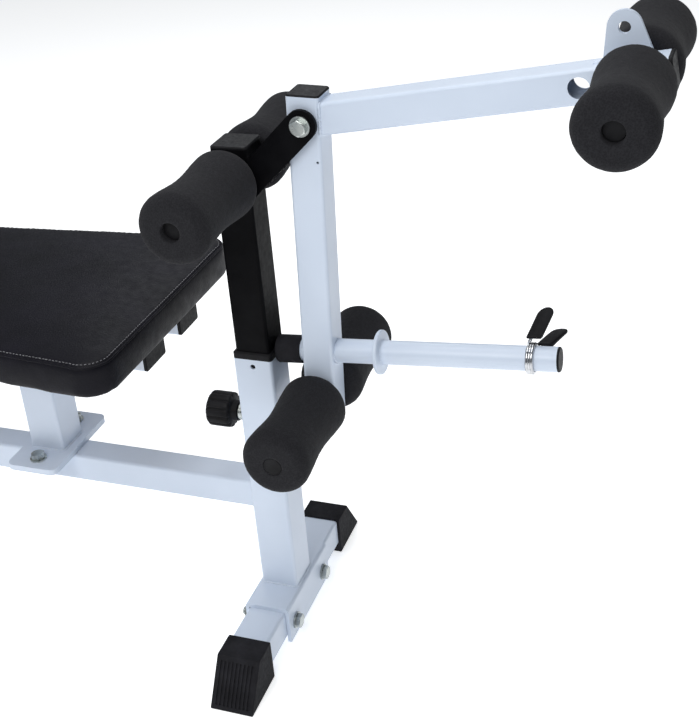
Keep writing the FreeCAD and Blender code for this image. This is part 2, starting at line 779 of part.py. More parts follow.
def make_lever():
    """Lever, arm, tab, weight post and their small parts, in frames that follow their angles."""
    lever = rising(pivot_x, pivot_z, -lever_lean)
    arm = lever.multiply(rising(lever_side / 2, arm_root_z, arm_rise))
    weight = lever.multiply(rising(0, weight_z, weight_rise))
    half = lever_side / 2

    body = tube("z", lever_low, lever_high, (0, 0), (lever_side, lever_side))
    body = drilled(
        body,
        [
            ("y", -half - 1, half + 1, (0, 0), 8.05),
            ("y", -half - 1, half + 1, (lower_bar_z, lower_bar_x), roller_bar_hole),
            ("y", -half - 1, -half + tube_wall + 1, (-43.0, half - 4.5), 1.5),
        ],
    )
    post_hole = rod("x", -60, 60, (0, 0), weight_radius + running)
    post_hole.Placement = rising(0, weight_z, weight_rise).multiply(post_hole.Placement)
    add("lever", body.cut(post_hole), lever)
    size = (lever_side, lever_side)
    cap = plug("z", lever_high, 1, (0, 0), size, flange=lever_cap_thick, depth=12.0)
    add("lever_cap", cap, lever)
    foot = plug("z", lever_low, -1, (0, 0), (lever_side, lever_side), depth=10.0)
    foot.Placement = lever.multiply(foot.Placement)
    bush_half = inner_side / 2 - 0.1
    add("pivot_bush", sleeve("y", -bush_half, bush_half, (0, 0), 8.0, m10 + running), lever)

    # The arm, cut square to the lever's front face
    outer = arm_side / 2
    run = tube("x", -20, arm_length, (0, 0), (arm_side, arm_side))
    holes = []
    for at in (arm_bar_at, arm_hole_at):
        holes.append(("y", -outer - 1, outer + 1, (0, at), roller_bar_hole))
    run = drilled(run, holes)
    behind = Part.makeBox(80, 80, 160)
    behind.translate(Vector(-80, -40, -80))
    behind.Placement = rising(0, 0, -arm_rise).multiply(behind.Placement)
    add("arm", run.cut(behind), arm)
    arm_end = plug("x", arm_length, 1, (0, 0), (arm_side, arm_side), depth=10.0)
    arm_end.Placement = arm.multiply(arm_end.Placement)
    tab_top = outer + tab_hole_up
    quad = tangent_quad((tab_at, tab_top), tab_radius, (tab_at, outer - 40), tab_radius + 17)
    sheet = [disc((tab_at, tab_top), tab_radius, -tab_thick / 2, tab_thick / 2)]
    sheet.append(flat_polygon(quad, -tab_thick / 2, tab_thick / 2))
    below = Part.makeBox(200, 20, 100)
    below.translate(Vector(tab_at - 100, -10, outer - 100))
    tab = fuse(sheet)
    add("arm_tab", cut(tab, [below, disc((tab_at, tab_top), tab_hole, -10, 10)]), arm)

    # The weight post runs through the lever and carries the bumper on its rear end
    post = sleeve("x", weight_start, weight_end, (0, 0), weight_radius, weight_radius - weight_wall)
    add("weight_post", post, weight)
    disc_end = stop_disc_at + stop_disc_thick
    ring = sleeve("x", stop_disc_at, disc_end, (0, 0), stop_disc_radius, weight_radius)
    ring = ring.makeFillet(1.5, [e for e in ring.Edges if e.Length > 120])
    add("stop_disc", ring, weight)
    bore = weight_radius - weight_wall - running
    tip = weight_end + weight_plug_thick
    head = eased(rod("x", weight_end, tip, (0, 0), weight_radius), X, tip, 1.0)
    post_end = fuse([head, rod("x", weight_end - 14, weight_end, (0, 0), bore)])
    post_end.Placement = weight.multiply(post_end.Placement)
    add("lever_plugs", [foot, arm_end, post_end])
    slope = math.radians(weight_rise - lever_lean)
    axis_x = pivot_x + weight_z * math.sin(math.radians(lever_lean))
    rest_gap = 0.3
    face_x = post_side / 2 + rest_gap + bumper_radius * math.sin(slope)
    bumper_end = -(axis_x - face_x) / math.cos(slope)
    pad_body = rod("x", bumper_end, weight_start, (0, 0), bumper_radius)
    pad_body = pad_body.makeFillet(2.0, ends(X, pad_body, bumper_end))
    spigot = rod("x", weight_start, weight_start + 9, (0, 0), bore)
    add("bumper", fuse([pad_body, spigot]), weight)
    return lever, arm, weight


def make_clip(weight):
    """Spring clip on the weight post: a coil with one fixed leg, and a leg that squeezes."""
    wire = clip_wire
    coil = weight_radius + 0.2 + wire
    rings = []
    for i in range(clip_turns):
        ring = Part.makeTorus(coil, wire, Vector(0, 0, 0), X)
        ring.translate(Vector(clip_at + i * clip_pitch, 0, 0))
        rings.append(ring)
    legs, grips = [], []
    for side, start in zip((-1, 1), clip_leg_starts):
        around = Placement(Vector(clip_at + start, 0, 0), Rotation(X, -clip_turn - side * clip_spread))
        lean = around.multiply(Placement(Vector(0, 0, coil), Rotation(Y, clip_lean)))
        leg = rod("z", 0.5, clip_leg, (0, 0), wire)
        size = (clip_grip_width, clip_grip_thick)
        grip = bar("z", clip_grip_start, clip_grip_end, (4.0, 0), size, 3.0)
        grip = grip.makeFillet(2.0, ends(Z, grip, clip_grip_end))
        grip = grip.cut(rod("z", clip_grip_start - 1, clip_leg + 0.2, (0, 0), wire + running))
        for solid, group in ((leg, legs), (grip, grips)):
            solid.Placement = lean.multiply(solid.Placement)
            group.append(solid)
    spring = fuse(rings + [legs[0]])
    add("clip_spring", spring, weight)
    add("clip_grip", grips[0], weight)
    add("clip_arm", legs[1].cut(Part.makeCompound(rings)), weight)
    add("clip_arm_grip", grips[1], weight)


# ---------------------------------------------------------------- rollers


def foam():
    """Foam sleeve about Y, from Y = 0: a waist between two round-edged ends."""
    end, waist = foam_end_radius, foam_waist_radius
    high = foam_length
    edge = end - 0.8

    def at(radius, y):
        return Vector(radius, y, 0)

    def corner(y_face, y_side):
        middle_y = y_face + (y_side - y_face) * 0.28
        return Part.Arc(at(foam_face_radius, y_face), at(end - 3.2, middle_y), at(edge, y_side))

    bore = roller_bar_hole
    first = corner(0, foam_rounding).toShape()
    last = corner(high, high - foam_rounding).toShape()
    side = Part.Arc(at(edge, foam_rounding), at(waist, high / 2), at(edge, high - foam_rounding))
    lines = [
        Part.makeLine(at(bore, 0), at(foam_face_radius, 0)),
        Part.makeLine(at(foam_face_radius, high), at(bore, high)),
        Part.makeLine(at(bore, high), at(bore, 0)),
    ]
    wire = Part.Wire(Part.__sortEdges__(lines + [first, last, side.toShape()]))
    return Part.Face(wire).revolve(Vector(0, 0, 0), Y, 360)


def make_roller(name, centre, inner, recess, placement=None):
    """A bar through its tube with a foam and a plug at each end. centre is (x, z)."""
    bar_half = inner + foam_length - recess
    hollow = roller_bar_radius - roller_bar_wall
    at = (centre[1], centre[0])
    tube_end = bar_half - roller_plug_thick
    add(name + "_bar", sleeve("y", -tube_end, tube_end, at, roller_bar_radius, hollow), placement)
    foams, plugs = [], []
    for side in (-1, 1):
        shape = foam()
        if side < 0:
            shape = shape.mirror(Vector(0, 0, 0), Y)
        shape.translate(Vector(centre[0], side * inner, centre[1]))
        foams.append(shape)
        lows = sorted((side * tube_end, side * bar_half))
        cover = rod("y", lows[0], lows[1], at, roller_bar_radius)
        cover = eased(cover, Y, side * bar_half, 0.8)
        lows = sorted((side * tube_end, side * (tube_end - roller_plug_depth)))
        plugs.append(fuse([cover, rod("y", lows[0], lows[1], at, hollow - running)]))
    add(name + "_foams", foams, placement)
    add(name + "_plugs", plugs, placement)


# ---------------------------------------------------------------- build

make_feet()
make_frame()
make_seat()
make_backrest()
make_clamps()
make_carrier()
lever_frame, arm_frame, weight_frame = make_lever()
make_clip(weight_frame)
make_roller("knee_roller", (0.0, knee_z), 31.0, 7.0)
make_roller("lower_roller", (lower_bar_x, lower_bar_z), 19.5, 0.0, lever_frame)
make_roller("arm_roller", (arm_bar_at, 0.0), 21.0, 7.0, arm_frame)

os.makedirs("parts", exist_ok=True)
shift = Placement(Vector(origin_to_front_post, 0, 0), Rotation())
for node, shape in parts.items():
    shape = shape.copy()
    shape.Placement = shift.multiply(shape.Placement)
    if not shape.isValid():
        print("not valid:", node)
    shape.exportStep(os.path.join("parts", node + ".step"))
print(len(parts), "nodes")
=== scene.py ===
import json
import math

import bpy
import numpy as np
from mathutils import Matrix, Quaternion, Vector, noise
from mathutils.bvhtree import BVHTree
from mathutils.kdtree import KDTree

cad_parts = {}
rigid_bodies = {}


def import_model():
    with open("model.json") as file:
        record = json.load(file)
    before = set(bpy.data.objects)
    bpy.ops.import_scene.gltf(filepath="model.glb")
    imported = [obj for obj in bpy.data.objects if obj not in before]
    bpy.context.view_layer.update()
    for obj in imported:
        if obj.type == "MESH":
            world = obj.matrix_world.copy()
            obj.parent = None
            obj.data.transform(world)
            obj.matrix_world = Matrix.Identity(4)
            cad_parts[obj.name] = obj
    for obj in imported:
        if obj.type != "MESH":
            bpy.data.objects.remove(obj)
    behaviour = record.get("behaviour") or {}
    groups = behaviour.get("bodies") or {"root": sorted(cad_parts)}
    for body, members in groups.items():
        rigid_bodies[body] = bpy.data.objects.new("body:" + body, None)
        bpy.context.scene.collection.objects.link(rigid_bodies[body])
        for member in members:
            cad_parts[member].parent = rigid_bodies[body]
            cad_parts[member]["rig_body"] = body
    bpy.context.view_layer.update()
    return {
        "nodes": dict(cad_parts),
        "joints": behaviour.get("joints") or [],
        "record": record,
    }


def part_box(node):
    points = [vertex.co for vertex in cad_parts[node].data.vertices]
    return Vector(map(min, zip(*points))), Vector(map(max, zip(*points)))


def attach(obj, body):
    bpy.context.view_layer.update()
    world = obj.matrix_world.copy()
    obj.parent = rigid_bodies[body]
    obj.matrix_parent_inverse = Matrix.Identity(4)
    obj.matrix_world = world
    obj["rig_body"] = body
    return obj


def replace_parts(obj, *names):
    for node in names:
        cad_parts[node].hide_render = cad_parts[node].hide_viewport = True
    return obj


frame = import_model()
scene = bpy.context.scene
nodes = frame["nodes"]

MM = 0.001
TURN = 2 * math.pi

# Angles of the leg developer at rest, in degrees
LEVER_LEAN = 1.8
ARM_RISE = 11.2
WEIGHT_RISE = 6.1

# Tube sides and places along the leg developer that the weld beads follow
LEVER_SIDE = 38 * MM
ARM_SIDE = 36 * MM
POST_SIDE = 50 * MM
BEAM_SIDE = 40 * MM
ARM_ROOT = 4.9 * MM
WEIGHT_DOWN = 288 * MM
WEIGHT_RADIUS = 14.3 * MM
DISC_NEAR, DISC_FAR = 71 * MM, 76 * MM

# Spring clip: wire and coil radius, the coil's start and length along the post, angles in degrees
WIRE = 2.0 * MM
CLIP_COIL = WEIGHT_RADIUS + 0.2 * MM + WIRE
CLIP_AT = 247 * MM
CLIP_RUN = 8.2 * MM
CLIP_TURN = 55.0
CLIP_SPREAD = 25.0
CLIP_LEAN = 24.0

# Pads: width at the rear end and corner radius, and how far in from the edge the board lies
SEAT_REAR, SEAT_CORNER = 306 * MM, 38 * MM
BACK_REAR, BACK_CORNER = 256 * MM, 36 * MM
BOARD_INSET = 14 * MM

# Foam sleeves: length, then radii at the thick ends, the waist, the flat end face and the bore
FOAM_LENGTH = 142 * MM
FOAM_END, FOAM_WAIST = 40 * MM, 36 * MM
FOAM_FACE, FOAM_BORE = 27 * MM, 11.05 * MM
FOAM_ROUNDING = 14 * MM

# Radii of the bolts that show a thread, and of the thread's ridge
BOLT_10, BOLT_12 = 5 * MM, 6 * MM
RIDGE = 0.42 * MM


def joint_place(name):
    """Where a hinge joint's axis passes at rest."""
    for joint in frame["joints"]:
        if joint["name"] == name:
            return Vector(joint["pos_m"])


def rising(x, z, degrees):
    """Frame in the XZ plane whose X rises by an angle."""
    return Matrix.Translation((x, 0, z)) @ Matrix.Rotation(math.radians(-degrees), 4, "Y")


pivot = joint_place("lever_swing")
LEVER = rising(pivot.x, pivot.z, -LEVER_LEAN)
ARM = LEVER @ rising(LEVER_SIDE / 2, ARM_ROOT, ARM_RISE)
WEIGHT = LEVER @ rising(0, -WEIGHT_DOWN, WEIGHT_RISE)


# ---------------------------------------------------------------- camera, light and floor


def make_camera():
    """Camera in front of the bench's near side, looking down at the leg developer."""
    place = Vector((0.9611, -1.1797, 1.1316))
    look = Vector((-0.32012, 0.82265, -0.46986))
    roll = math.radians(-4.54)
    camera = bpy.data.objects.new("camera", bpy.data.cameras.new("camera"))
    camera.data.lens = 61.875
    camera.data.shift_x = -0.0019
    camera.data.shift_y = -0.0559
    camera.rotation_mode = "QUATERNION"
    camera.rotation_quaternion = look.to_track_quat("-Z", "Y") @ Quaternion((0, 0, 1), roll)
    camera.location = place
    scene.collection.objects.link(camera)
    scene.camera = camera


def make_light(name, place, target, size, watts, colour=(1, 1, 1)):
    """Soft square studio light."""
    light = bpy.data.lights.new(name, "AREA")
    light.size = size
    light.energy = watts
    light.color = colour
    lamp = bpy.data.objects.new(name, light)
    lamp.location = place
    aim = Vector(target) - Vector(place)
    lamp.rotation_euler = aim.to_track_quat("-Z", "Y").to_euler()
    scene.collection.objects.link(lamp)


def make_stage():
    """Pale floor, pale world and four soft lights."""
    scene.view_settings.view_transform = "Standard"
    world = bpy.data.worlds.new("studio")
    world.use_nodes = True
    background = world.node_tree.nodes["Background"]
    background.inputs["Color"].default_value = (0.90, 0.95, 1.0, 1)
    background.inputs["Strength"].default_value = 0.22
    scene.world = world

    middle = (0.35, 0, 0.4)
    make_light("key", (0.3, -2.0, 2.5), middle, 1.7, 42, (1.0, 0.99, 0.97))
    make_light("top", (0.2, 0.2, 3.2), middle, 1.9, 42, (1.0, 1.0, 1.0))
    make_light("fill", (-2.2, -1.6, 1.4), middle, 1.6, 6, (0.9, 0.95, 1.0))
    make_light("rim", (-0.4, 2.3, 2.2), middle, 1.6, 12, (0.95, 0.97, 1.0))

    half = 6.0
    mesh = bpy.data.meshes.new("floor")
    corners = [(-half, -half, 0), (half, -half, 0), (half, half, 0), (-half, half, 0)]
    mesh.from_pydata(corners, [], [(0, 1, 2, 3)])
    floor = bpy.data.objects.new("floor", mesh)
    scene.collection.objects.link(floor)
    paint = bpy.data.materials.new("floor")
    paint.use_nodes = True
    surface = paint.node_tree.nodes["Principled BSDF"]
    surface.inputs["Base Color"].default_value = (0.93, 0.94, 0.95, 1)
    surface.inputs["Roughness"].default_value = 0.9
    surface.inputs["Emission Color"].default_value = (1.0, 1.0, 1.0, 1)
    surface.inputs["Emission Strength"].default_value = 0.56
    mesh.materials.append(paint)


# ---------------------------------------------------------------- materials


class Paint:
    """One procedural material. Object coordinates carry every pattern, so scales are per metre."""

    def __init__(self, name, metallic=0.0, **constants):
        self.material = bpy.data.materials.new(name)
        self.material.use_nodes = True
        self.tree = self.material.node_tree
        self.surface = self.tree.nodes["Principled BSDF"]
        self.surface.inputs["Metallic"].default_value = metallic
        for socket, value in constants.items():
            self.surface.inputs[socket.replace("_", " ")].default_value = value
        self.place = self.tree.nodes.new("ShaderNodeTexCoord").outputs["Object"]

    def link(self, output, target):
        self.tree.links.new(output, target)

    def stretched(self, scale):
        """Coordinates with a different scale on each axis."""
        mapping = self.tree.nodes.new("ShaderNodeMapping")
        mapping.inputs["Scale"].default_value = scale
        self.link(self.place, mapping.inputs["Vector"])
        return mapping.outputs["Vector"]

    def noise(self, scale, detail=3.0, place=None):
        node = self.tree.nodes.new("ShaderNodeTexNoise")
        node.inputs["Scale"].default_value = scale
        node.inputs["Detail"].default_value = detail
        self.link(place or self.place, node.inputs["Vector"])
        return node.outputs["Fac"]

    def cells(self, scale, feature="F1", place=None):
        node = self.tree.nodes.new("ShaderNodeTexVoronoi")
        node.feature = feature
        node.inputs["Scale"].default_value = scale
        self.link(place or self.place, node.inputs["Vector"])
        return node.outputs["Distance"]

    def spread(self, value, low, high, start=0.3, stop=0.7):
        """A 0 to 1 value moved to the range low to high."""
        node = self.tree.nodes.new("ShaderNodeMapRange")
        for socket, number in (("From Min", start), ("From Max", stop), ("To Min", low), ("To Max", high)):
            node.inputs[socket].default_value = number
        self.link(value, node.inputs["Value"])
        return node.outputs["Result"]

    def colour(self, value, dark, light, start=0.3, stop=0.7):
        """Base colour that runs from dark to light with a value."""
        node = self.tree.nodes.new("ShaderNodeValToRGB")
        node.color_ramp.elements[0].position = start
        node.color_ramp.elements[0].color = (*dark, 1)
        node.color_ramp.elements[1].position = stop
        node.color_ramp.elements[1].color = (*light, 1)
        self.link(value, node.inputs["Fac"])
        self.link(node.outputs["Color"], self.surface.inputs["Base Color"])

    def rough(self, value, low, high):
        self.link(self.spread(value, low, high), self.surface.inputs["Roughness"])

    def bump(self, *layers):
        """Stacked bumps, each (value, strength, depth in metres)."""
        normal = None
        for value, strength, depth in layers:
            node = self.tree.nodes.new("ShaderNodeBump")
            node.inputs["Strength"].default_value = strength
            node.inputs["Distance"].default_value = depth
            self.link(value, node.inputs["Height"])
            if normal is not None:
                self.link(normal, node.inputs["Normal"])
            normal = node.outputs["Normal"]
        self.link(normal, self.surface.inputs["Normal"])


def white_powder_coat():
    paint = Paint("white_powder_coat", Coat_Weight=0.10, Coat_Roughness=0.25)
    paint.colour(paint.noise(9, 4), (0.55, 0.625, 0.745), (0.60, 0.675, 0.795))
    paint.rough(paint.noise(40, 2), 0.30, 0.36)
    paint.bump((paint.noise(60, 2), 0.03, 0.001))
    return paint.material


def black_powder_coat():
    paint = Paint("black_powder_coat", Specular_IOR_Level=0.04)
    paint.colour(paint.noise(30, 4), (0.002, 0.002, 0.0026), (0.005, 0.005, 0.006))
    paint.rough(paint.noise(180, 3), 0.36, 0.50)
    paint.bump((paint.noise(900, 2), 0.30, 0.0003), (paint.noise(60, 2), 0.05, 0.001))
    return paint.material


def zinc_plate():
    paint = Paint("zinc_plate", metallic=1.0)
    paint.colour(paint.noise(55, 5), (0.30, 0.33, 0.34), (0.56, 0.59, 0.57))
    paint.rough(paint.noise(300, 4), 0.22, 0.42)
    scratches = paint.noise(60, 3, paint.stretched((3, 40, 40)))
    paint.bump((scratches, 0.12, 0.0003), (paint.noise(1500, 2), 0.10, 0.0001))
    return paint.material


def bright_chrome():
    paint = Paint("bright_chrome", metallic=1.0)
    paint.colour(paint.noise(90, 3), (0.42, 0.43, 0.45), (0.66, 0.67, 0.69))
    paint.rough(paint.noise(400, 3), 0.07, 0.18)
    paint.bump((paint.noise(800, 2), 0.05, 0.0001))
    return paint.material


def moulded_plastic():
    paint = Paint("moulded_plastic", Specular_IOR_Level=0.10)
    paint.colour(paint.noise(50, 4), (0.006, 0.006, 0.007), (0.013, 0.013, 0.015))
    paint.rough(paint.noise(240, 3), 0.40, 0.58)
    paint.bump((paint.noise(1700, 2), 0.35, 0.0002), (paint.noise(70, 2), 0.05, 0.0008))
    return paint.material


def moulded_rubber():
    paint = Paint("moulded_rubber", Specular_IOR_Level=0.10)
    paint.colour(paint.noise(38, 5), (0.010, 0.010, 0.012), (0.020, 0.020, 0.024))
    paint.rough(paint.noise(200, 4), 0.62, 0.84)
    paint.bump((paint.noise(1300, 3), 0.45, 0.0002), (paint.cells(240), 0.08, 0.0005))
    return paint.material


def closed_foam():
    """Foam skin: fine open grain, its colour darker in the pore hollows and paler on the rims between
    them, painted shade that follows the grain's relief.
    """
    paint = Paint("closed_foam", Sheen_Weight=0.03, Sheen_Roughness=0.6, Specular_IOR_Level=0.12)
    grain = paint.cells(620)
    # Painted shade: the grain that sinks the pores in the bump also darkens their colour and lightens the
    # rims.
    paint.colour(grain, (0.010, 0.010, 0.012), (0.018, 0.018, 0.021), 0.1, 0.75)
    paint.rough(paint.noise(200, 4), 0.82, 0.98)
    fine, slow = paint.noise(1400, 3), paint.noise(40, 3)
    paint.bump((grain, 0.45, 0.0005), (fine, 0.3, 0.0003), (slow, 0.15, 0.002))
    return paint.material


def leatherette():
    """Coated cloth with a pressed grain: pebbles, finer wrinkles and slow shade changes."""
    paint = Paint("leatherette", Specular_IOR_Level=0.10)
    paint.colour(paint.noise(14, 5), (0.004, 0.004, 0.006), (0.008, 0.0075, 0.012))
    paint.rough(paint.noise(90, 4), 0.38, 0.52)
    pebbles = paint.cells(560, "SMOOTH_F1")
    creases = paint.cells(210, "DISTANCE_TO_EDGE", paint.stretched((1, 1.5, 1)))
    paint.bump((pebbles, 0.42, 0.0004), (creases, 0.10, 0.0005), (paint.noise(24, 3), 0.12, 0.003))
    return paint.material


def thread_with_painted_highlight():
    paint = Paint("thread_with_painted_highlight", Sheen_Weight=0.3)
    # Painted highlight: the thread itself is black, and this grey colour stands in for the light its
    # stitches catch along the pad's rounded edge.
    paint.colour(paint.noise(700, 3), (0.10, 0.10, 0.11), (0.24, 0.24, 0.26))
    paint.rough(paint.noise(900, 2), 0.35, 0.55)
    paint.bump((paint.noise(3000, 2), 0.4, 0.0001))
    return paint.material


def board_plywood():
    paint = Paint("board_plywood")
    rings = paint.noise(16, 5, paint.stretched((0.6, 6, 6)))
    paint.colour(rings, (0.34, 0.22, 0.12), (0.62, 0.47, 0.30))
    paint.rough(paint.noise(120, 4), 0.6, 0.85)
    paint.bump((paint.noise(90, 4, paint.stretched((0.4, 7, 7))), 0.4, 0.0006))
    return paint.material


MATERIALS = {
    "white_steel": white_powder_coat(),
    "black_steel": black_powder_coat(),
    "zinc_steel": zinc_plate(),
    "chrome_steel": bright_chrome(),
    "black_plastic": moulded_plastic(),
    "black_rubber": moulded_rubber(),
    "foam": closed_foam(),
    "leatherette": leatherette(),
    "plywood": board_plywood(),
}
HIGHLIT_THREAD = thread_with_painted_highlight()


def paint_nodes():
    """Every CAD node takes the material of its slot."""
    for row in frame["record"]["subparts"]:
        mesh = nodes[row["node"]].data
        mesh.materials.clear()
        mesh.materials.append(MATERIALS[row["material_slot"]])


# ---------------------------------------------------------------- mesh helpers


class Shape:
    """Mesh built from rings of points, in the row frame or in a frame given at the end."""

    def __init__(self):
        self.points, self.faces = [], []

    def rings(self, rings, looped=False):
        """Skin over rings of equal length, each a closed loop of points, with both ends filled."""
        first, count = len(self.points), len(rings[0])
        for ring in rings:
            self.points += [Vector(p) for p in ring]
        spans = len(rings) if looped else len(rings) - 1
        for i in range(spans):
            here, there = first + i * count, first + (i + 1) % len(rings) * count
            for j in range(count):
                k = (j + 1) % count
                self.faces.append((here + j, here + k, there + k, there + j))
        if not looped:
            for start, order in ((first, -1), (first + (len(rings) - 1) * count, 1)):
                loop = list(range(start, start + count))[::order]
                self.points.append(sum((self.points[i] for i in loop), Vector()) / count)
                middle = len(self.points) - 1
                for j in range(count):
                    self.faces.append((loop[j], loop[(j + 1) % count], middle))

    def sweep(self, path, radius, sides=10, looped=False):
        """Round tube along a path. radius is a number or a function of the distance run."""
        path = [Vector(p) for p in path]
        total = len(path)
        rings = []
        run = 0.0
        side = None
        for i, point in enumerate(path):
            before = path[i - 1] if i or looped else point
            after = path[(i + 1) % total] if i + 1 < total or looped else point
            along = (after - before).normalized()
            if side is None:
                side = along.orthogonal().normalized()
            side = (side - along * side.dot(along)).normalized()
            up = along.cross(side)
            r = radius(run) if callable(radius) else radius
            ring = []
            for j in range(sides):
                a = TURN * j / sides
                ring.append(point + side * (r * math.cos(a)) + up * (r * math.sin(a)))
            rings.append(ring)
            run += (after - point).length
        self.rings(rings, looped)

    def lathe(self, profile, segments=96, looped=False, wave=None):
        """Turned shape about local Z. profile is (radius, height); wave scales the radius by angle."""
        rings = []
        for radius, height in profile:
            ring = []
            for j in range(segments):
                a = TURN * j / segments
                r = radius * (wave(a, radius) if wave else 1.0)
                ring.append((r * math.cos(a), r * math.sin(a), height))
            rings.append(ring)
        self.rings(rings, looped)

    def object(self, name, slot, body, place=None, material=None):
        """The finished piece, riding on its body."""
        mesh = bpy.data.meshes.new(name)
        mesh.from_pydata([tuple(p) for p in self.points], [], self.faces)
        mesh.update()
        if place is not None:
            mesh.transform(place)
        for polygon in mesh.polygons:
            polygon.use_smooth = True
        mesh.materials.append(material or MATERIALS[slot])
        piece = bpy.data.objects.new(name, mesh)
        scene.collection.objects.link(piece)
        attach(piece, body)
        return piece


def arc(centre, radius, start, stop, steps):
    """Points on an arc in a plane, angles in radians."""
    points = []
    for i in range(steps + 1):
        a = start + (stop - start) * i / steps
        points.append((centre[0] + radius * math.cos(a), centre[1] + radius * math.sin(a)))
    return points


def facing(direction, centre):
    """Frame at a centre whose Z points along a direction."""
    turn = Vector(direction).to_track_quat("Z", "Y").to_matrix().to_4x4()
    return Matrix.Translation(centre) @ turn


# ---------------------------------------------------------------- pads


def bend(before, after):
    """Angle between two directions."""
    return math.acos(max(-1, min(1, before.dot(after))))


def outline(corners, inset, radius, arc_steps=14, edge_steps=40):
    """Closed loop of (x, y): a convex polygon moved inwards, with round corners."""
    count = len(corners)
    lines = []
    for i in range(count):
        start, stop = Vector(corners[i]), Vector(corners[(i + 1) % count])
        along = (stop - start).normalized()
        inward = Vector((-along.y, along.x))
        lines.append((start + inward * inset, along, inward))
    tips = []
    for i in range(count):
        (start, along, _), (place, after, _) = lines[i - 1], lines[i]
        cross = along.x * after.y - along.y * after.x
        gap = place - start
        tips.append(start + along * ((gap.x * after.y - gap.y * after.x) / cross))
    radius = max(radius - inset, 2 * MM)
    loop = []
    for i in range(count):
        (_, before, inward), (_, along, _) = lines[i - 1], lines[i]
        turn = bend(before, along)
        next_turn = bend(along, lines[(i + 1) % count][1])
        centre = tips[i] - before * (radius * math.tan(turn / 2)) + inward * radius
        start = math.atan2(-inward.y, -inward.x)
        loop += [Vector(p) for p in arc(centre, radius, start, start + turn, arc_steps)]
        begin = loop[-1]
        end = tips[(i + 1) % count] - along * (radius * math.tan(next_turn / 2))
        loop += [begin.lerp(end, k / edge_steps) for k in range(1, edge_steps)]
    return loop


def swell(piece, held, pressure=4.0, cap=7 * MM):
    """Cloth under pressure, with the held vertices fixed and every move capped."""
    frames = 20
    group = piece.vertex_groups.new(name="held")
    group.add(held, 1.0, "REPLACE")
    cloth = piece.modifiers.new("swell", "CLOTH")
    cloth.settings.quality = 4
    cloth.settings.use_pressure = True
    cloth.settings.uniform_pressure_force = pressure
    cloth.settings.vertex_group_mass = group.name
    cloth.settings.effector_weights.gravity = 0.0
    for number in range(1, frames + 1):
        scene.frame_set(number)
    seen = piece.evaluated_get(bpy.context.evaluated_depsgraph_get())
    moved = np.empty(len(seen.data.vertices) * 3, np.float32)
    seen.data.vertices.foreach_get("co", moved)
    still = np.empty_like(moved)
    piece.data.vertices.foreach_get("co", still)
    step = (moved - still).reshape(-1, 3)
    size = np.linalg.norm(step, axis=1, keepdims=True)
    step *= np.minimum(1.0, cap / np.maximum(size, 1e-9))
    piece.modifiers.remove(cloth)
    piece.data.vertices.foreach_set("co", still + step.reshape(-1))
    scene.frame_set(1)


def applied(piece):
    """Applies the piece's modifiers to its mesh."""
    seen = piece.evaluated_get(bpy.context.evaluated_depsgraph_get())
    mesh = bpy.data.meshes.new_from_object(seen)
    piece.modifiers.clear()
    piece.data = mesh
    for polygon in mesh.polygons:
        polygon.use_smooth = True


def make_pad(name, node, body, rear_width, corner):
    """Upholstered pad: crowned top, sewn edge seam with a welt, and an underside let in for the board."""
    low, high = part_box(node)
    front_half, rear_half = (high.y - low.y) / 2, rear_width / 2
    corners = [(low.x, -rear_half), (high.x, -front_half), (high.x, front_half), (low.x, rear_half)]
    slim = 2.5 * MM
    edge = 9 * MM
    crown = 3.5 * MM
    top = high.z - 4 * MM

    raised = low.z + 4 * MM
    profile = [(BOARD_INSET + 3 * MM, raised), (BOARD_INSET, raised)]
    profile += [(BOARD_INSET - 1.5 * MM, low.z), (slim + 5 * MM, low.z)]
    profile += [(slim + 1.5 * MM, low.z + 1 * MM), (slim, low.z + 5 * MM)]
    profile += [(slim, low.z + 0.5 * (top - low.z)), (slim, top - edge)]
    for i in range(1, 6):
        t = i / 6 * math.pi / 2
        profile.append((slim + edge * (1 - math.cos(t)), top - edge + edge * math.sin(t)))
    reach = rear_half - 30 * MM
    for i in range(12):
        t = i / 11
        profile.append((slim + edge + (reach - edge) * t, top + crown * (1 - (1 - t) ** 2.2)))
    shape = Shape()
    shape.rings([[(p.x, p.y, z) for p in outline(corners, inset, corner)] for inset, z in profile])
    piece = shape.object(name, "leatherette", body)

    remesh = piece.modifiers.new("skin", "REMESH")
    remesh.mode = "VOXEL"
    remesh.voxel_size = 4.5 * MM
    applied(piece)
    seam_inset = 7 * MM
    seam = outline(corners, seam_inset, corner)
    tree = KDTree(len(seam))
    for i, p in enumerate(seam):
        tree.insert((p.x, p.y, 0), i)
    tree.balance()
    middle = (low.z + high.z) / 2

    def off_seam(vertex):
        return tree.find((vertex.co.x, vertex.co.y, 0))[2]

    held = []
    for vertex in piece.data.vertices:
        if vertex.co.z < raised + 1.5 * MM or (vertex.co.z > middle and off_seam(vertex) < 3 * MM):
            held.append(vertex.index)
    swell(piece, held)
    smooth = piece.modifiers.new("even", "SMOOTH")
    smooth.factor = 0.5
    smooth.iterations = 3
    finer = piece.modifiers.new("finer", "SUBSURF")
    finer.levels = finer.render_levels = 1
    applied(piece)
    seam_depth, seam_reach, waver = 1.3 * MM, 2.6 * MM, 0.5 * MM
    for vertex in piece.data.vertices:
        if vertex.co.z > middle:
            vertex.co.z -= seam_depth * math.exp(-((off_seam(vertex) / seam_reach) ** 2))
        if vertex.co.z > middle:
            vertex.co.z += waver * noise.noise(vertex.co * 16)
    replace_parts(piece, node)
    sew(name, piece, body, corners, corner, seam_inset, high.z)


